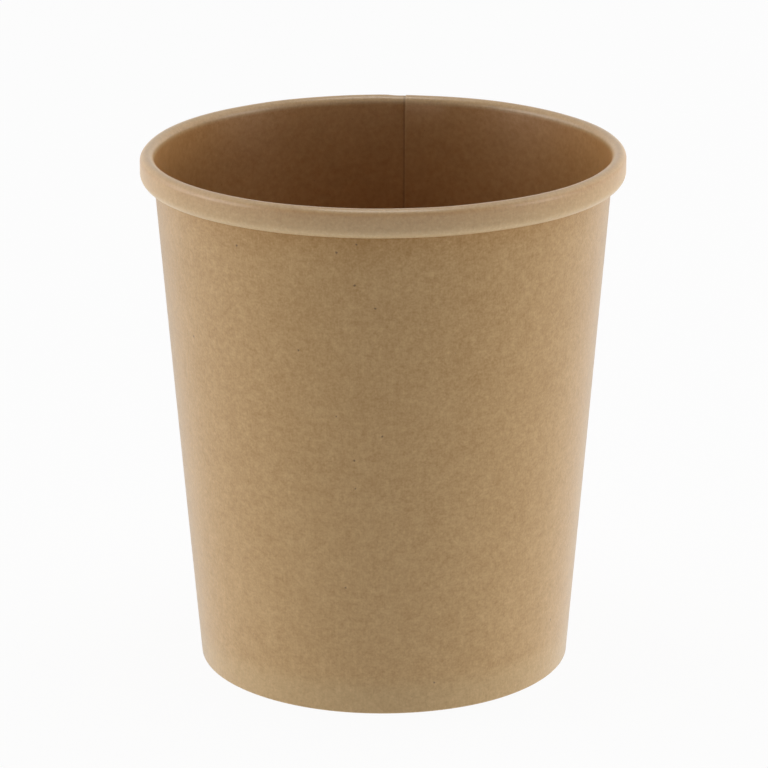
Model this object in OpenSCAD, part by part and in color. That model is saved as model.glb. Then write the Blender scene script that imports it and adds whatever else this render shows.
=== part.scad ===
// Kraft paper soup cup: a round, tapered board wall that is wrapped and lapped at one seam,
// rolled outwards at the mouth and folded inwards at the foot, around a recessed base disc.
// Millimetres, +Z up, origin at the centre of the foot ring, the seam at the back (+Y).

/* [Cup] */
// Outside diameter of the rolled rim
rim_d = 117; // [105:0.5:125]
// Height from the table to the top of the rim
cup_h = 127.7; // [90:0.1:150]
// Outside diameter of the wall at the table
base_d = 90.8; // [82:0.1:96]

/* [Board] */
// Thickness of the wall board
board_t = 0.45; // [0.3:0.01:0.5]
// Thickness of the base disc board
disc_t = 0.42; // [0.3:0.01:0.6]
// Thickness of the sealing film on each side of the disc's skirt
film_t = 0.05; // [0.03:0.01:0.1]

/* [Rolled rim] */
// Height of the roll, from its lowest edge to the top of the rim
roll_h = 6.9; // [6.2:0.1:9]
// Outside radius of the bend over the top of the roll
crest_r = 1.7; // [1.6:0.05:2.2]
// Outside radius of the bend from the rim's face to its lower edge
cheek_r = 2.6; // [1.8:0.1:3]
// Angle that the cheek bend turns through before the last, tighter bend
cheek_turn = 55; // [40:1:65]
// Clear space between the outer leaf of the lap and the turned-up end of the roll
tuck_clear = 0.05; // [0.03:0.01:0.2]
// Length of the turned-up end inside the roll
tuck_l = 1.8; // [0.5:0.1:2.4]

/* [Foot] */
// Depth of the recess under the base disc
recess_h = 8; // [6:0.5:14]
// Height of the base disc above the upper edge of the folded-in hem
hem_drop = 2; // [1.2:0.1:3]
// Radius inside each corner of the fold at the foot
fold_in_r = 0.05; // [0.03:0.01:0.1]
// Height of the lower edge of the disc's skirt above the inside of the fold
skirt_lift = 0.3; // [0.1:0.05:1]
// Outside radius where the disc turns down into its skirt
disc_corner_r = 1; // [0.8:0.1:1.4]

/* [Side seam] */
// Direction of the seam's inner edge, in degrees from +X towards +Y
seam_az = 84.6; // [0:0.1:359]
// Width of the lap, measured at the middle of the wall
lap_w = 8; // [5:0.5:12]
// Width of the slope where the outer leaf climbs over the inner one
ramp_w = 2.5; // [1.5:0.1:4]
// Width of the open line beside the inner leaf's cut edge
line_w = 0.8; // [0.4:0.1:1.2]
// Thickness of the board left under that open line
line_floor = 0.17; // [0.1:0.01:0.25]
// Angle above level, on the crest bend, where that open line runs out
line_end = 40; // [20:5:70]

/* [Hidden] */
$fn = 128;

kraft_outside = [0.69, 0.57, 0.43];
kraft_inside = [0.58, 0.45, 0.31];

// How far the flats of a bend dip below its true curve
facet_dip = 0.006;
// How far one shape reaches into another that it becomes one solid with
bite = board_t / 2;
// How far a cutting shape passes the surface that it cuts
pass = 1;

rim_r = rim_d / 2;
base_r = base_d / 2;
fold_r = board_t + fold_in_r;
hem_h = recess_h - hem_drop;
floor_z = recess_h + disc_t;

// The wall's slope is the one at which its inner face runs smoothly into the crest bend
crest_c = [rim_r - crest_r, cup_h - crest_r];
crest_reach = [crest_c.x - base_r, crest_c.y];
slope = acos((crest_r - board_t) / norm(crest_reach)) - atan2(crest_reach.y, crest_reach.x);

// The last bend takes what the cheek leaves of the room between the rim's face and the wall
roll_bottom = cup_h - roll_h;
roll_room = (rim_r - base_r - cheek_r * (1 - cos(cheek_turn))) * cos(slope)
    - roll_bottom * sin(slope) - board_t - tuck_clear;
curl_r = roll_room / (1 + cos(cheek_turn) * cos(slope) + sin(slope));
curl_c = [rim_r - cheek_r + (cheek_r - curl_r) * cos(cheek_turn), roll_bottom + curl_r];
cheek_c = [rim_r - cheek_r, curl_c.y + (cheek_r - curl_r) * sin(cheek_turn)];

// The foot, from the wall's outer face inwards: board, film, skirt, film, board
skirt_out = board_t + film_t;
skirt_in = skirt_out + disc_t;
hem_out = skirt_in + film_t;
foot_w = hem_out + board_t;

// Widths along the lap are measured round the middle of the wall
deg_per_mm = 180 / (PI * on_wall(0, cup_h / 2).x);

// A point d inside the wall's outer face, square to it, at height z
function on_wall(d, z) = [base_r + (z * sin(slope) - d) / cos(slope), z];

// Points of an arc about c from angle a to angle b, without the first so many of them
function arc(c, r, a, b, skip = 0) =
    let (steps = max(2, ceil(abs(b - a) / (2 * acos(1 - facet_dip / r)))))
    [for (i = [skip : steps]) let (q = a + (b - a) * i / steps) c + r * [cos(q), sin(q)]];

// Points of a list in the opposite order
function turned(list) = [for (i = [len(list) - 1 : -1 : 0]) list[i]];

// The line d inside the board's outer face, through the fold at the foot
function foot_line(d) = concat(
    [on_wall(foot_w - d, hem_h)],
    arc(on_wall(foot_w - fold_r, fold_r), fold_r - d, -180 - slope, -90),
    arc(on_wall(fold_r, fold_r), fold_r - d, -90, -slope)
);

// The same line over the crest, as far as an angle above level
function crest_line(d, last = 0) = concat(
    arc(crest_c, crest_r - board_t + d, 180 - slope, 90),
    arc(crest_c, crest_r - board_t + d, 90, last, skip = 1)
);

// The same line on down the rim's face, as far as the turned-up end inside the roll
function roll_line(d) =
    let (curl = curl_r - board_t + d, last = -180 - slope)
    concat(
        crest_line(d),
        arc(cheek_c, cheek_r - board_t + d, 0, -cheek_turn),
        arc(curl_c, curl, -cheek_turn, last, skip = 1),
        [curl_c + curl * [cos(last), sin(last)] + tuck_l * [sin(slope), cos(slope)]]
    );

// Section of the wall board, one strip of even thickness from the hem to the end of the roll
module board_section() {
    polygon(concat(
        foot_line(0), roll_line(0),
        turned(roll_line(board_t)), turned(foot_line(board_t))
    ));
}

// Section of the outer leaf, which lies on the board's outer face and inside the roll
module leaf_section() {
    leaf_r = fold_r + board_t;
    polygon(concat(
        arc(on_wall(fold_r, fold_r), leaf_r, -asin(fold_r / leaf_r), -slope),
        roll_line(-board_t),
        turned(roll_line(bite)),
        [on_wall(bite, fold_r), on_wall(fold_r, 0)]
    ));
}

// Section of the open line on the side of the board that lines the cup, up to the crest
module line_section() {
    polygon(concat(
        [on_wall(line_floor, floor_z)], crest_line(line_floor, line_end),
        turned(crest_line(board_t + pass, line_end)), [on_wall(board_t + pass, floor_z)]
    ));
}

// Below the roll, everything outside a sloping plane, which ends a film's thickness off the wall
module ramp_cut() {
    rise = atan((board_t - film_t) / ramp_w) + ramp_w * deg_per_mm / 2;
    reach = 2 * ramp_w;
    rotate([0, 0, seam_az + ramp_w * deg_per_mm])
        translate([base_r + film_t / cos(slope), 0, 0])
            rotate([0, slope, 0])
                rotate([0, 0, rise])
                    translate([0, -reach, -pass])
                        cube([reach, reach + pass, pass + roll_bottom / cos(slope)]);
}

// The outer leaf over the lap, from its cut edge to where its slope meets the wall
module outer_leaf() {
    from = seam_az - lap_w * deg_per_mm;
    difference() {
        rotate([0, 0, from])
            rotate_extrude(angle = seam_az + ramp_w * deg_per_mm - from) leaf_section();
        ramp_cut();
    }
}

module sidewall() {
    color(kraft_outside)
        difference() {
            union() {
                rotate_extrude() board_section();
                outer_leaf();
            }
            rotate([0, 0, seam_az])
                rotate_extrude(angle = line_w * deg_per_mm) line_section();
        }
}

// Section of the base disc with its turned-down skirt
module disc_section() {
    corner_c = on_wall(skirt_out + disc_corner_r, floor_z - disc_corner_r);
    skirt_foot = board_t + skirt_lift;
    polygon(concat(
        [[0, recess_h], [0, floor_z]],
        arc(corner_c, disc_corner_r, 90, -slope),
        [on_wall(skirt_out, skirt_foot), on_wall(skirt_in, skirt_foot)],
        arc(corner_c, disc_corner_r - disc_t, -slope, 90)
    ));
}

module base_disc() {
    color(kraft_inside)
        rotate_extrude() disc_section();
}

sidewall();
base_disc();
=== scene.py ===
# Kraft paper soup cup: a wrapped and lapped board wall with a rolled rim and a folded foot,
# around a recessed base disc. Metres, +Z up, the seam at the back.
import bmesh
import bpy
import math
from mathutils import Matrix, Vector, noise


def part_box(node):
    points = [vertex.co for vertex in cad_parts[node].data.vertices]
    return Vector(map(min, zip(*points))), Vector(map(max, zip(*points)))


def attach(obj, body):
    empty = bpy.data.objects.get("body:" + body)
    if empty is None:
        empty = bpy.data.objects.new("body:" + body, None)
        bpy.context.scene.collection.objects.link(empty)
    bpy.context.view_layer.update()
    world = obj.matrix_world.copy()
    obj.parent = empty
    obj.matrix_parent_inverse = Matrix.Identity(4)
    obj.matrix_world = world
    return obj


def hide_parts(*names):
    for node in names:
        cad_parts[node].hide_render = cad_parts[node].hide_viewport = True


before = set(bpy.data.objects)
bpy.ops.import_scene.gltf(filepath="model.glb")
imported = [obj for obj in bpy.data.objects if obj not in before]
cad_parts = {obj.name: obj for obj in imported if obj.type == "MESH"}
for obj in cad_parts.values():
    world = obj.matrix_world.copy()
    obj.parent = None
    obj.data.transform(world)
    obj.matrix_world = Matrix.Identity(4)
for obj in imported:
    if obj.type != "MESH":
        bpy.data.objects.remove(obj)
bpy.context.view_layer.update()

mm = 0.001
scene = bpy.context.scene
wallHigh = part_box("sidewall")[1]
discLow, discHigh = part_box("base_disc")
print("frame loaded, rim radius", round(wallHigh.x / mm, 2), "mm, height", round(wallHigh.z / mm, 2), "mm")

# The board's own sizes, and the shape it takes in the cup
cup = {
    "rimRadius": wallHigh.x,
    "height": wallHigh.z,
    "footRadius": 45.4 * mm,
    "discTop": discHigh.z,
    "discFoot": discLow.z,
    "board": 0.45 * mm,
    "disc": 0.42 * mm,
    "film": 0.05 * mm,
    "rollHeight": 6.9 * mm,
    "crestRadius": 1.7 * mm,
    "cheekRadius": 2.6 * mm,
    "cheekTurn": math.radians(55),
    "tuckLength": 1.8 * mm,
    "tuckClear": 0.05 * mm,
    "foldRadius": 0.5 * mm,
    "hemDrop": 2 * mm,
    "discCorner": 1 * mm,
}
crestX = cup["rimRadius"] - cup["crestRadius"]
crestZ = cup["height"] - cup["crestRadius"]
reach = Vector((crestX - cup["footRadius"], crestZ))
slope = math.acos((cup["crestRadius"] - cup["board"]) / reach.length) - math.atan2(reach.y, reach.x)
deepWall = 2 * cup["board"] + 2 * cup["film"] + cup["disc"]   # wall, film, skirt, film and hem


def onWall(depth, height):   # a point that lies depth inside the wall's outer face
    out = (height * math.sin(slope) - depth) / math.cos(slope)
    return Vector((cup["footRadius"] + out, 0, height))


# How far a real cup strays from a true cone
stray = {
    "swell": 0.12 * mm,
    "swellAtRim": 0.16 * mm,
    "rimWave": 0.07 * mm,
    "waveSize": 60 * mm,
    "lobes": 1.6,
    "rimLobes": 3.2,
    "dentDepth": 0.5 * mm,   # the rim is a little out of round at its far left
    "dentSide": math.radians(168),
    "dentWidth": math.radians(20),
}


def settle(bm):   # moves the vertices a little off the true cone, the same way for every piece
    for vert in bm.verts:
        flat = vert.co.xy.length
        if flat < 1 * mm:
            continue
        around = Vector((vert.co.x, vert.co.y)) / flat
        level = vert.co.z / cup["height"]
        place = Vector((*(around * stray["lobes"]), vert.co.z / stray["waveSize"]))
        swell = stray["swell"] * noise.noise(place)
        rim = level ** 6
        swell += stray["swellAtRim"] * rim * noise.noise(Vector((*(around * stray["rimLobes"]), 7)))
        foot = min(1, flat / cup["footRadius"])
        aside = (math.atan2(around.y, around.x) % (2 * math.pi) - stray["dentSide"]) / stray["dentWidth"]
        swell -= stray["dentDepth"] * rim * math.exp(-aside * aside)
        vert.co.x += around.x * swell * foot
        vert.co.y += around.y * swell * foot
        vert.co.z += stray["rimWave"] * rim * noise.noise(Vector((*(around * stray["rimLobes"]), 11)))


def lengthen(bm, vert, to, pieces=1):   # a straight stretch of the board's section
    start = vert.co.copy()
    for step in range(pieces):
        vert = bmesh.ops.extrude_vert_indiv(bm, verts=[vert])["verts"][0]
        vert.co = start.lerp(to, (step + 1) / pieces)
    return vert


def bend(bm, vert, centre, turn, pieces):   # a bend of the board's section, clockwise when turn is positive
    made = bmesh.ops.spin(bm, geom=[vert], cent=centre, axis=(0, 1, 0), dvec=(0, 0, 0), angle=turn,
                          steps=pieces, use_merge=False, use_duplicate=False, space=Matrix())
    return [part for part in made["geom_last"] if isinstance(part, bmesh.types.BMVert)][0]


def measure(bm):   # writes on each vertex how far it lies along the board's section
    along = bm.verts.layers.float["along"]
    bm.verts.ensure_lookup_table()
    for vert in bm.verts[1:]:
        before = bm.verts[vert.index - 1]
        vert[along] = before[along] + (vert.co - before.co).length


def finishBoard(name, bm, thickness, materials, node, pressed=False):
    # Gives the sheet its thickness, its sharp cut edges and its place in the frame
    mesh = bpy.data.meshes.new(name)
    bm.to_mesh(mesh)
    bm.free()
    flat = bpy.data.objects.new(name, mesh)
    scene.collection.objects.link(flat)
    for material in materials:
        mesh.materials.append(material)
    shell = flat.modifiers.new("thickness", "SOLIDIFY")
    shell.thickness = thickness
    shell.offset = 0
    shell.use_even_offset = True
    shell.use_quality_normals = True
    if pressed:
        shell.vertex_group = flat.vertex_groups.new(name="boardLeft").name
    shell.material_offset = 1
    shell.material_offset_rim = 2
    bpy.context.view_layer.update()
    solid = bpy.data.meshes.new_from_object(flat.evaluated_get(bpy.context.evaluated_depsgraph_get()))
    flat.modifiers.clear()
    flat.data = solid
    bpy.data.meshes.remove(mesh)
    solid.name = name
    solid.set_sharp_from_angle(angle=math.radians(40))
    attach(flat, "root")
    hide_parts(node)
    print(name, "has", len(solid.polygons), "faces")
    return flat


# Materials

def linear(*levels):   # a colour as it is seen, in the light values that the shader works with
    return tuple(((level / 255 + 0.055) / 1.055) ** 2.4 for level in levels)


class Wire:   # a number in a shader, with the usual sums on it
    def __init__(self, paint, socket):
        self.paint = paint
        self.socket = socket

    def sum(self, operation, first, second):
        return self.paint.add("ShaderNodeMath", {"operation": operation}, {0: first, 1: second})

    def __add__(self, other):
        return self.sum("ADD", self, other)

    def __radd__(self, other):
        return self.sum("ADD", other, self)

    def __sub__(self, other):
        return self.sum("SUBTRACT", self, other)

    def __rsub__(self, other):
        return self.sum("SUBTRACT", other, self)

    def __mul__(self, other):
        return self.sum("MULTIPLY", self, other)

    def __rmul__(self, other):
        return self.sum("MULTIPLY", other, self)


class Paint:   # the nodes of a material or of the sky
    def __init__(self, owner):
        owner.use_nodes = True
        self.owner = owner
        self.nodes = owner.node_tree.nodes
        self.links = owner.node_tree.links
        self.shader = self.nodes.get("Principled BSDF") or self.nodes["Background"]

    def socket(self, node, key):
        if isinstance(key, int):
            return node.inputs[key]
        return next(s for s in node.inputs if s.identifier == key or (s.name == key and s.enabled))

    def put(self, node, inputs):
        for key, value in inputs.items():
            socket = self.socket(node, key)
            if isinstance(value, Wire):
                self.links.new(value.socket, socket)
            elif socket.type == "RGBA":
                socket.default_value = (*value, 1)
            else:
                socket.default_value = value

    def add(self, kind, settings=None, inputs=None, output=None):
        node = self.nodes.new(kind)
        for key, value in (settings or {}).items():
            setattr(node, key, value)
        self.put(node, inputs or {})
        made = [s for s in node.outputs if s.enabled]
        return Wire(self, node.outputs[output] if output else made[0])

    def mapped(self, place, stretch, turn=0.0):   # coordinates in millimetres, turned and stretched
        return self.add("ShaderNodeMapping", {"vector_type": "POINT"}, {
            "Vector": place, "Rotation": (0, 0, turn), "Scale": tuple(part / mm for part in stretch)})

    def cloud(self, place, size, detail=2.0, rough=0.5):
        return self.add("ShaderNodeTexNoise", {"noise_dimensions": "3D"}, {
            "Vector": place, "Scale": 1 / size, "Detail": detail, "Roughness": rough}, "Fac")

    def ramp(self, value, low, high, kind="SMOOTHSTEP"):   # 0 below low, 1 above high
        return self.add("ShaderNodeMapRange", {"interpolation_type": kind, "clamp": True}, {
            "Value": value, "From Min": low, "From Max": high})

    def mix(self, factor, first, second):
        return self.add("ShaderNodeMix", {"data_type": "RGBA"}, {
            "Factor_Float": factor, "A_Color": first, "B_Color": second}, "Result")


# What both sides of the board share; sizes in millimetres
kraft = {
    "shive": (84, 56, 30),
    "crackAndHighlight": (226, 210, 166),
    "seamShade": (96, 62, 34),
    "paintedFloorLight": 0.14,   # painted light from the floor below: how much lighter the board is painted at the foot, and how far up that reaches
    "paintedFloorLightReach": 115.0,
    "paintedRimShadeStart": 107.0,
    "paintedRimShadeEnd": 121.5,
    "cloudSize": 14.0,
    "cloudShare": 0.22,
    "flockSize": 3.4,
    "flockShare": 0.44,
    "mottleSize": 1.3,
    "mottleShare": 0.68,
    "grainSize": 0.55,
    "rolledGrain": 0.45,   # how much more the grain shows in the roll
    "dustSize": 0.26,
    "dustShare": 0.12,
    "fibreLength": 2.6,
    "fibreWidth": 0.16,
    "fibreShare": 0.15,
    "fibreTurns": ((0.15, 1.0), (1.15, 0.8), (2.2, 0.8), (2.75, 0.9)),   # direction in radians, and share
    "speckSize": 3.4,
    "speckShare": 0.35,
    "speckChance": (0.70, 0.95),   # each cell draws from 0 to 1: no speck below this, a full one above that
    "speckCore": 0.02,   # as a share of the cell that the speck lies in
    "speckEdge": 0.07,
    "fleckShare": 0.75,
    "fleckCore": 0.2,   # as a share of the fleck's radius
    "fleckEdge": 1.5,
    "fleckRagged": 0.5,
    "creaseLength": 5.0,
    "creaseWidth": 0.45,
    "crackSize": 0.8,
    "crackRange": (0.42, 0.75),
    "wearAndHighlight": 0.38,
    "crackShare": 0.20,
    "edgeHighlight": 0.10,
    "edgeHighlightFade": 0.6,
    "seamShadeFade": 0.1,
    "grainRelief": 0.5,   # how much each of these stands out, or dips, against the side's relief
    "dustRelief": 0.35,
    "fibreRelief": 0.3,
    "mottleRelief": 0.9,
    "creaseRelief": 1.6,
    "speckDip": 0.25,
    "unevenGloss": 0.10,
    "crackDullness": 0.05,
    "sheenRoughness": 0.4,
}

raw = {
    "dark": (154, 111, 43),
    "pale": (208, 172, 120),
    "contrast": 1.0,
    "fine": 0.58,
    "paintedRimShade": 0.24,   # painted shade: the board is darker just under the rim, where the rim's overhang shades it
    "seamShade": 0.0,
    "roughness": 0.54,
    "relief": 0.05 * mm,
    "gloss": 0.6,
    "sheen": 0.7,
}

lined = {
    "dark": (151, 98, 36),
    "pale": (206, 163, 112),
    "contrast": 0.8,
    "fine": 0.15,
    "paintedRimShade": 0.0,
    "seamShade": 0.32,
    "roughness": 0.32,
    "relief": 0.015 * mm,
    "gloss": 0.66,
    "sheen": 0.0,
}

# Specks that stand out on the front: millimetres aside from its middle, up from the foot, and radius
flecks = {
    "farLeftUnderRim": (-36.2, 114.4, 0.30),
    "underRim": (-10.6, 116.5, 0.30),
    "closeUnderRim": (-6.0, 118.7, 0.22),
    "upperLeft": (-6.5, 108.7, 0.24),
    "upperMiddle": (-1.8, 103.2, 0.22),
    "farLeft": (-53.5, 86.5, 0.28),
    "left": (-20.0, 91.5, 0.24),
    "middleLeft": (-10.9, 76.0, 0.22),
    "centre": (-0.3, 71.5, 0.24),
    "lower": (-6.8, 65.2, 0.24),
    "belowIt": (-6.6, 58.1, 0.22),
    "nearFoot": (-9.1, 32.5, 0.24),
    "farRight": (48.7, 13.0, 0.30),
    "atFoot": (12.0, 7.1, 0.24),
}


def kraftBoard(name, place, side, placed=()):
    paint = Paint(bpy.data.materials.new(name))
    spot = paint.add("ShaderNodeUVMap", {"uv_map": place}) if place else \
        paint.add("ShaderNodeTexCoord", {}, {}, "Object")
    flat = paint.mapped(spot, (1, 1, 1))
    clouds = paint.cloud(flat, kraft["cloudSize"], 2)
    flock = paint.cloud(flat, kraft["flockSize"], 2, 0.6)
    mottle = paint.cloud(flat, kraft["mottleSize"], 2, 0.6)
    grain = paint.cloud(flat, kraft["grainSize"], 1)
    dust = paint.cloud(flat, kraft["dustSize"], 1)

    # Pulp fibres that lie every way, a few more of them along the grain of the sheet
    fibres = []
    for turn, share in kraft["fibreTurns"]:
        strand = paint.mapped(spot, (1 / kraft["fibreWidth"], 1 / kraft["fibreLength"], 1), turn)
        fibres.append(share * (paint.cloud(strand, 1.0, 0) - 0.5))
    hair = fibres[0] + fibres[1] + fibres[2] + fibres[3]

    bends = paint.add("ShaderNodeAttribute", {"attribute_name": "bend"}, {}, "Fac")
    rolled = paint.add("ShaderNodeAttribute", {"attribute_name": "roll"}, {}, "Fac")
    broad = (kraft["cloudShare"] * (clouds - 0.5) + kraft["flockShare"] * (flock - 0.5)
             + kraft["mottleShare"] * (mottle - 0.5))
    small = (grain - 0.5) + kraft["dustShare"] * (dust - 0.5) + kraft["fibreShare"] * hair
    tone = 0.5 + side["contrast"] * (broad + (side["fine"] + kraft["rolledGrain"] * rolled) * small)
    if side["paintedRimShade"] and place:
        # Painted shade under the rim's overhang, darkest just below the roll
        up = paint.add("ShaderNodeSeparateXYZ", {}, {"Vector": flat}, "Y")
        pressed = paint.ramp(up, kraft["paintedRimShadeStart"], kraft["paintedRimShadeEnd"])
        # Painted light from the floor: the board is lighter towards the foot
        low = 1 - paint.ramp(up, 0, kraft["paintedFloorLightReach"])
        tone = tone - side["paintedRimShade"] * pressed * pressed + kraft["paintedFloorLight"] * low
    colour = paint.mix(tone, linear(*side["dark"]), linear(*side["pale"]))

    # Shives: small dark splinters of wood, far apart and none like the next
    nearest = {"voronoi_dimensions": "3D", "feature": "F1"}
    cells = {"Vector": flat, "Scale": 1 / kraft["speckSize"], "Randomness": 1.0}
    apart = paint.add("ShaderNodeTexVoronoi", nearest, cells, "Distance")
    pick = paint.add("ShaderNodeTexVoronoi", nearest, cells, "Color")
    chance = paint.add("ShaderNodeSeparateColor", {}, {"Color": pick}, "Red")
    some = paint.ramp(chance, *kraft["speckChance"], "LINEAR")
    speck = kraft["speckShare"] * (1 - paint.ramp(apart, kraft["speckCore"], kraft["speckEdge"])) * some
    for aside, above, radius in placed:
        away = paint.add("ShaderNodeVectorMath", {"operation": "DISTANCE"}, {
            0: flat, 1: (aside, above, 0)}, "Value")
        ragged = away + kraft["fleckRagged"] * (grain - 0.5)
        outside = paint.ramp(ragged, kraft["fleckCore"] * radius, kraft["fleckEdge"] * radius)
        speck = speck + kraft["fleckShare"] * (1 - outside)
    colour = paint.mix(speck, colour, linear(*kraft["shive"]))

    # The bends: fine creases across the roll, and cracks that show paler fibres. The pale mix is partly
    # real wear and partly a painted highlight on the crest and down the roll's face
    crackAndHighlight = bends * paint.ramp(paint.cloud(flat, kraft["crackSize"], 3, 0.7), *kraft["crackRange"])
    colour = paint.mix(kraft["wearAndHighlight"] * bends + kraft["crackShare"] * crackAndHighlight, colour, linear(*kraft["crackAndHighlight"]))
    # Painted shade in the groove beside the inner leaf's cut edge
    if side["seamShade"]:
        seamMark = paint.add("ShaderNodeAttribute", {"attribute_name": "seamMark"}, {}, "Fac")
        line = side["seamShade"] * paint.ramp(seamMark, kraft["seamShadeFade"], 1)
        colour = paint.mix(line, colour, linear(*kraft["seamShade"]))
        # Painted highlight on the inner leaf's cut edge, in the pale crack colour
        edgeHighlightShare = kraft["edgeHighlight"] * paint.ramp(-1 * seamMark, kraft["edgeHighlightFade"], 1)
        colour = paint.mix(edgeHighlightShare, colour, linear(*kraft["crackAndHighlight"]))
    folds = paint.mapped(spot, (1 / kraft["creaseWidth"], 1 / kraft["creaseLength"], 1))
    crease = bends * paint.cloud(folds, 1.0, 2, 0.6)

    height = (kraft["grainRelief"] * (grain - 0.5) + kraft["dustRelief"] * (dust - 0.5)
              + kraft["fibreRelief"] * hair + kraft["mottleRelief"] * (mottle - 0.5)
              - kraft["speckDip"] * speck + kraft["creaseRelief"] * crease)
    bump = paint.add("ShaderNodeBump", {}, {
        "Strength": 1.0, "Distance": side["relief"], "Height": height}, "Normal")
    uneven = kraft["unevenGloss"] * ((mottle - 0.5) + (grain - 0.5))
    rough = side["roughness"] + uneven + kraft["crackDullness"] * crackAndHighlight
    paint.put(paint.shader, {
        "Base Color": colour, "Roughness": rough, "Normal": bump, "Specular IOR Level": side["gloss"],
        "Sheen Weight": side["sheen"], "Sheen Roughness": kraft["sheenRoughness"]})
    return paint.owner


# The raw edge of the board: pale, in layers, with a rough cut
cut = {
    "dark": (150, 112, 70),
    "pale": (206, 170, 126),
    "fuzzSize": 0.12,
    "layerSize": 0.5,
    "layerShare": 0.4,
    "fuzzRange": (0.4, 0.95),
    "roughness": 0.75,
    "unevenGloss": 0.2,
    "relief": 0.04 * mm,
}


def cutBoard(name):
    paint = Paint(bpy.data.materials.new(name))
    spot = paint.mapped(paint.add("ShaderNodeTexCoord", {}, {}, "Object"), (1, 1, 1))
    fuzz = paint.cloud(spot, cut["fuzzSize"], 3, 0.7)
    layer = paint.cloud(spot, cut["layerSize"], 2)
    tone = paint.ramp(fuzz + cut["layerShare"] * layer, *cut["fuzzRange"])
    colour = paint.mix(tone, linear(*cut["dark"]), linear(*cut["pale"]))
    bump = paint.add("ShaderNodeBump", {}, {
        "Strength": 0.8, "Distance": cut["relief"], "Height": fuzz}, "Normal")
    rough = cut["roughness"] + cut["unevenGloss"] * (fuzz - 0.5)
    paint.put(paint.shader, {"Base Color": colour, "Roughness": rough, "Normal": bump})
    return paint.owner


outsideKraft = kraftBoard("kraftOutside", "blank", raw, flecks.values())
linedKraft = kraftBoard("kraftLined", "blank", lined)
baseKraft = kraftBoard("kraftBase", None, raw)
baseLined = kraftBoard("kraftBaseLined", None, lined)
rawEdge = cutBoard("rawCutEdge")
print("materials made")


# The wall: one blank of board, wrapped once round and lapped at the back

wall = {
    "seam": math.radians(84.0),
    "lap": math.radians(9.1),
    "ramp": math.radians(5.5),
    "fade": math.radians(3),
    "step": math.radians(1.5),
    "rampSteps": 14,
    "lapSteps": 6,
    "wallPieces": 26,
    "sealGap": 0.02 * mm,
    "seamShade": math.radians(0.7),   # width of the painted shade line in the groove beside the inner leaf's cut edge
    "pressedWall": 0.10,   # share of the thickness that the sealing press takes from each leaf
    "pressedRoll": 0.68,
    "lean": 2.4 * mm,   # how far below the roll the doubled board starts to lean outwards
    "stand": 0.18 * mm,   # how far the doubled board stands into the cup
    "crestWearAndHighlight": 0.6,   # how much the bend over the top is creased and painted with highlight, against 1 at the roll's lower edge
    "faceWearAndHighlight": 0.3,   # the same at the top of the roll's upright face
    "foldWear": 0.3,   # and in the fold at the foot
    "coneFoot": 562.8 * mm,   # from the tip of the unrolled cone to the foot
}
upWall = Vector((math.sin(slope), 0, math.cos(slope)))


def wallSection(bm):   # the middle line of the board, from the hem's edge round to the roll's tucked end
    half = cup["board"] / 2
    foldTurn = cup["foldRadius"] - half
    hemTop = cup["discTop"] - cup["disc"] - cup["hemDrop"]
    lift = bm.verts.layers.float["lift"]
    bends = bm.verts.layers.float["bend"]
    roll = bm.verts.layers.float["roll"]

    vert = bm.verts.new(onWall(deepWall - half, hemTop))
    inner = onWall(deepWall - cup["foldRadius"], cup["foldRadius"])
    outer = onWall(cup["foldRadius"], cup["foldRadius"])
    vert = lengthen(bm, vert, onWall(deepWall - half, inner.z - foldTurn * math.sin(slope)), 5)
    vert = bend(bm, vert, inner, -(math.pi / 2 + slope), 6)
    vert = lengthen(bm, vert, outer - Vector((0, 0, foldTurn)), 2)
    beforeFold = len(bm.verts)
    vert = bend(bm, vert, outer, -(math.pi / 2 - slope), 6)
    wallStart = len(bm.verts)

    crest = Vector((crestX, 0, crestZ))
    crestTurn = cup["crestRadius"] - half
    top = crest + crestTurn * Vector((-math.cos(slope), 0, math.sin(slope)))
    vert = lengthen(bm, vert, top - wall["lean"] * upWall, wall["wallPieces"])
    vert = lengthen(bm, vert, top, 3)
    wallEnd = len(bm.verts)
    vert = bend(bm, vert, crest, math.pi - slope, 14)
    crestEnd = len(bm.verts)

    # The last bend takes what the cheek leaves of the room between the rim's face and the wall
    cheekTurn = cup["cheekTurn"]
    cheekX = cup["rimRadius"] - cup["cheekRadius"]
    rollBottom = cup["height"] - cup["rollHeight"]
    across = cheekX - cup["footRadius"] + cup["cheekRadius"] * math.cos(cheekTurn)
    room = across * math.cos(slope) - rollBottom * math.sin(slope) - cup["board"] - cup["tuckClear"]
    curlRadius = room / (1 + math.cos(cheekTurn) * math.cos(slope) + math.sin(slope))
    spare = cup["cheekRadius"] - curlRadius
    curl = Vector((cheekX + spare * math.cos(cheekTurn), 0, rollBottom + curlRadius))
    cheek = Vector((cheekX, 0, curl.z + spare * math.sin(cheekTurn)))
    vert = lengthen(bm, vert, cheek + Vector((cup["cheekRadius"] - half, 0, 0)), 3)
    vert = bend(bm, vert, cheek, cheekTurn, 6)
    cheekEnd = len(bm.verts)
    vert = bend(bm, vert, curl, math.pi + slope - cheekTurn, 10)
    vert = lengthen(bm, vert, vert.co + cup["tuckLength"] * upWall, 3)

    # How far each vertex takes part in the lap, in the roll and in the creasing of the bends, whose pale
    # mix is also a painted highlight on the crest and down the roll's face
    bm.verts.ensure_lookup_table()
    for vert in bm.verts:
        climb = (vert.index - beforeFold) / (wallStart - beforeFold)
        vert[lift] = min(1, max(0, climb))
        if vert.index <= wallStart:
            vert[bends] = wall["foldWear"] if vert.index > 3 else 0
        elif vert.index >= wallEnd - 1:
            face = (vert.index - crestEnd + 3) / (cheekEnd - crestEnd)
            faceWearAndHighlight = min(1, wall["faceWearAndHighlight"] + (1 - wall["faceWearAndHighlight"]) * face)
            vert[bends] = wall["crestWearAndHighlight"] if face < 0 else faceWearAndHighlight
        vert[roll] = min(1, max(0, (vert.index - wallEnd + 4) / 3))
    return wallStart - 1   # the vertex at the foot of the wall


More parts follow.
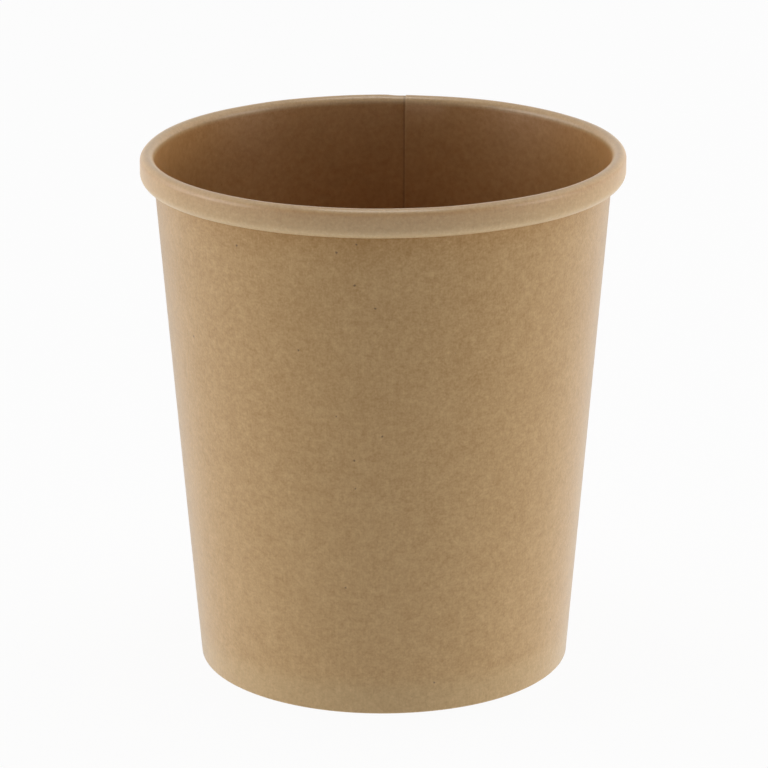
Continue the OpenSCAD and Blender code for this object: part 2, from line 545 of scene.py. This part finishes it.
def wrap(bm):   # turns the section once round the axis and on over the lap
    straight = 2 * math.pi - wall["ramp"]
    steps = round(straight / wall["step"])
    turns = [straight * (step + 1) / steps for step in range(steps)]
    turns += [straight + wall["ramp"] * (step + 1) / wall["rampSteps"] for step in range(wall["rampSteps"])]
    turns += [2 * math.pi + wall["lap"] * (step + 1) / wall["lapSteps"] for step in range(wall["lapSteps"])]
    travel = bm.verts.layers.float["travel"]
    ring = bm.edges[:]
    bmesh.ops.rotate(bm, verts=bm.verts, cent=(0, 0, 0), matrix=Matrix.Rotation(wall["seam"], 3, "Z"))
    reached = 0
    for turn in turns:
        made = bmesh.ops.extrude_edge_only(bm, edges=ring)["geom"]
        verts = [part for part in made if isinstance(part, bmesh.types.BMVert)]
        fresh = set(verts)
        edges = [part for part in made if isinstance(part, bmesh.types.BMEdge)]
        ring = [edge for edge in edges if fresh.issuperset(edge.verts)]
        bmesh.ops.rotate(bm, verts=verts, cent=(0, 0, 0), matrix=Matrix.Rotation(reached - turn, 3, "Z"))
        for vert in verts:
            vert[travel] = turn
        reached = turn


def smoothStep(share):
    share = min(1, max(0, share))
    return share * share * (3 - 2 * share)


def makeWall():
    bm = bmesh.new()
    for name in ("along", "travel", "lift", "bend", "roll", "seamMark"):
        bm.verts.layers.float.new(name)
    wallFoot = wallSection(bm)
    measure(bm)
    foldedIn = bm.verts[wallFoot][bm.verts.layers.float["along"]]
    wrap(bm)
    bm.normal_update()
    along = bm.verts.layers.float["along"]
    travel = bm.verts.layers.float["travel"]
    lift = bm.verts.layers.float["lift"]

    # Faces look to the raw side: outwards on the wall, and inwards in the roll
    front = Vector((0, -50, 60)) * mm
    middle = min(bm.faces, key=lambda face: (face.calc_center_median() - front).length)
    if middle.normal.y > 0:
        bmesh.ops.reverse_faces(bm, faces=bm.faces)
        bm.normal_update()

    # The outer leaf ends at the foot, and does not go on through the fold
    onceRound = 2 * math.pi
    slack = 0.001   # radians, far less than a step of the wrap
    outerLeaf = [face for face in bm.faces if min(vert[travel] for vert in face.verts) > onceRound - slack]
    doomed = [face for face in outerLeaf if min(vert[lift] for vert in face.verts) < 1]
    roll = bm.verts.layers.float["roll"]
    group = bm.verts.layers.deform.verify()
    seamMark = bm.verts.layers.float["seamMark"]
    moves = []
    for vert in bm.verts:
        # Marks the seam: painted highlight on the inner leaf's cut edge (-1), painted shade in the groove
        # beside it (1)
        if vert[travel] == 0:
            vert[seamMark] = -1
        elif 0 <= onceRound + slack - vert[travel] < wall["seamShade"]:
            vert[seamMark] = 1
        climb = smoothStep((vert[travel] - onceRound) / wall["ramp"] + 1)
        lapped = max(climb, smoothStep((wall["lap"] - vert[travel]) / wall["fade"] + 1))
        pressed = wall["pressedWall"] + (wall["pressedRoll"] - wall["pressedWall"]) * vert[roll]
        lost = lapped * vert[lift] * pressed
        vert[group][0] = 1 - lost
        rise = climb * vert[lift] * (cup["board"] * (1 - lost) + wall["sealGap"])
        stand = lapped * vert[lift] * (1 - vert[roll]) * wall["stand"]
        moves.append((vert, vert.normal * (rise - stand - cup["board"] * lost / 2)))
    for vert, move in moves:
        vert.co += move
    bmesh.ops.delete(bm, geom=doomed, context="FACES")
    settle(bm)

    # The unrolled blank as the UV map, in metres, with its middle at the front
    blank = bm.loops.layers.uv.new("blank")
    halfWay = wall["seam"] + math.pi / 2
    for face in bm.faces:
        face.smooth = True
        for loop in face.loops:
            radius = wall["coneFoot"] + loop.vert[along] - foldedIn
            angle = (halfWay - loop.vert[travel]) * math.sin(slope)
            loop[blank].uv = (radius * math.sin(angle), radius * math.cos(angle) - wall["coneFoot"])
    sides = [outsideKraft, linedKraft, rawEdge]
    return finishBoard("sidewallBoard", bm, cup["board"], sides, "sidewall", True)


# The base: a disc with its edge turned down into a skirt

base = {
    "step": math.radians(2),
    "rings": 12,
    "cornerPieces": 7,
    "bow": 0.18 * mm,
    "bowSize": 22 * mm,
}


def makeBase():
    bm = bmesh.new()
    bends = bm.verts.layers.float.new("bend")
    half = cup["disc"] / 2
    corner = onWall(cup["board"] + cup["film"] + cup["discCorner"], cup["discTop"] - cup["discCorner"])
    vert = bm.verts.new((0, 0, cup["discTop"] - half))
    vert = lengthen(bm, vert, corner + Vector((0, 0, cup["discCorner"] - half)), base["rings"])
    flatEnd = len(bm.verts)
    vert = bend(bm, vert, corner, math.pi / 2 + slope, base["cornerPieces"])
    foot = onWall(cup["board"] + cup["film"] + half, cup["discFoot"] + half * math.sin(slope))
    lengthen(bm, vert, foot, 4)
    bm.verts.ensure_lookup_table()
    for vert in bm.verts:
        vert[bends] = 1 if flatEnd <= vert.index < flatEnd + base["cornerPieces"] else 0
    steps = round(2 * math.pi / base["step"])
    bmesh.ops.spin(bm, geom=bm.edges[:], cent=(0, 0, 0), axis=(0, 0, 1), dvec=(0, 0, 0), angle=2 * math.pi,
                   steps=steps, use_merge=True, use_duplicate=False, space=Matrix())
    bmesh.ops.remove_doubles(bm, verts=bm.verts, dist=0.002 * mm)
    bmesh.ops.recalc_face_normals(bm, faces=bm.faces)

    # Faces look down, to the raw side
    middle = min(bm.faces, key=lambda face: face.calc_center_median().xy.length)
    if middle.normal.z > 0:
        bmesh.ops.reverse_faces(bm, faces=bm.faces)
    for vert in bm.verts:
        held = smoothStep(1 - vert.co.xy.length / corner.x)
        vert.co.z += base["bow"] * held * noise.noise(vert.co / base["bowSize"])
    settle(bm)
    for face in bm.faces:
        face.smooth = True
    sides = [baseKraft, baseLined, rawEdge]
    return finishBoard("baseBoard", bm, cup["disc"], sides, "base_disc")


makeWall()
makeBase()

# Floor, light and camera

studio = {
    "floorSize": 3.0,
    "floorColour": (0.86, 0.86, 0.86),
    "floorRoughness": 0.9,
    "floorGloss": 0.2,
    "floorGlow": 0.94,
    "tableGlow": 0.68,   # a light table: the floor's light on the cup from below
    "distance": 1.5,
}


def whiteForView(paint):   # 1 for what the camera sees itself, in gloss or through glass
    seen = paint.add("ShaderNodeLightPath", {}, {}, "Is Camera Ray")
    glossy = paint.add("ShaderNodeLightPath", {}, {}, "Is Glossy Ray")
    clear = paint.add("ShaderNodeLightPath", {}, {}, "Is Transmission Ray")
    return seen + glossy + clear


def makeFloor():
    mesh = bpy.data.meshes.new("paleFloor")
    bm = bmesh.new()
    bmesh.ops.create_circle(bm, cap_ends=True, segments=96, radius=studio["floorSize"])
    bm.to_mesh(mesh)
    bm.free()
    floor = bpy.data.objects.new("paleFloor", mesh)
    scene.collection.objects.link(floor)
    paint = Paint(bpy.data.materials.new("paleFloor"))
    paint.put(paint.shader, {
        "Base Color": studio["floorColour"], "Roughness": studio["floorRoughness"],
        "Specular IOR Level": studio["floorGloss"]})
    plain = Wire(paint, paint.shader.outputs[0])
    glow = paint.add("ShaderNodeEmission")
    share = studio["tableGlow"] + (studio["floorGlow"] - studio["tableGlow"]) * whiteForView(paint)
    paint.put(paint.nodes["Material Output"], {
        "Surface": paint.add("ShaderNodeMixShader", {}, {0: share, 1: plain, 2: glow})})
    mesh.materials.append(paint.owner)


def makeSky():
    paint = Paint(bpy.data.worlds.new("studioSky"))
    paint.put(paint.shader, {"Color": (1, 1, 1), "Strength": whiteForView(paint)})
    scene.world = paint.owner


lamps = {
    # name: direction from the front and rise in degrees, width and height in metres, power in watts
    "leftFront": (-78, 18, 0.8, 0.8, 5.0),
    "leftSide": (-105, 18, 0.8, 0.8, 2.5),
    "leftLow": (-95, 5, 0.9, 0.35, 4.2),
    "leftBack": (-130, 5, 0.9, 0.35, 4.2),
    "leftHigh": (-120, 50, 0.8, 0.8, 1.1),
    "rightFront": (78, 18, 0.8, 0.8, 4.3),
    "rightLow": (95, 5, 0.9, 0.35, 6.3),
    "rightBack": (130, 5, 0.9, 0.35, 7.0),
    "rightFar": (155, 5, 0.9, 0.35, 2.7),
    "rightHigh": (120, 50, 0.8, 0.8, 1.7),
    "top": (0, 90, 0.8, 0.8, 8.2),
}


def makeLamps():
    aim = Vector((0, 0, cup["height"] / 2))
    for name, (side, rise, width, tall, power) in lamps.items():
        light = bpy.data.lights.new(name, "AREA")
        light.shape = "RECTANGLE"
        light.size = width
        light.size_y = tall
        light.energy = power
        lamp = bpy.data.objects.new(name, light)
        side = math.radians(side)
        rise = math.radians(rise)
        way = Vector((math.sin(side) * math.cos(rise), -math.cos(side) * math.cos(rise), math.sin(rise)))
        lamp.location = aim + studio["distance"] * way
        lamp.rotation_euler = (-way).to_track_quat("-Z", "Y").to_euler()
        lamp.visible_camera = False
        lamp.visible_glossy = tall > 0.5   # the low lamps would burn out the ends of the rim
        scene.collection.objects.link(lamp)


lens = {
    "focal": 179.75,
    "sensor": 36,
    "distance": 938.8 * mm,
    "elevation": math.radians(17.41),
    "roll": -0.003,
    "aim": Vector((0.13, 0, 68.40)) * mm,
    "nearest": 50 * mm,
}


def makeCamera():
    data = bpy.data.cameras.new("viewCamera")
    data.lens = lens["focal"]
    data.sensor_width = lens["sensor"]
    data.clip_start = lens["nearest"]
    camera = bpy.data.objects.new("viewCamera", data)
    back = Vector((0, -math.cos(lens["elevation"]), math.sin(lens["elevation"])))
    tilt = Matrix.Rotation(math.pi / 2 - lens["elevation"], 4, "X") @ Matrix.Rotation(lens["roll"], 4, "Z")
    camera.matrix_world = Matrix.Translation(lens["aim"] + lens["distance"] * back) @ tilt
    scene.collection.objects.link(camera)
    scene.camera = camera


makeFloor()
makeSky()
makeLamps()
makeCamera()
scene.view_settings.view_transform = "Standard"
print("floor, lights and camera made")
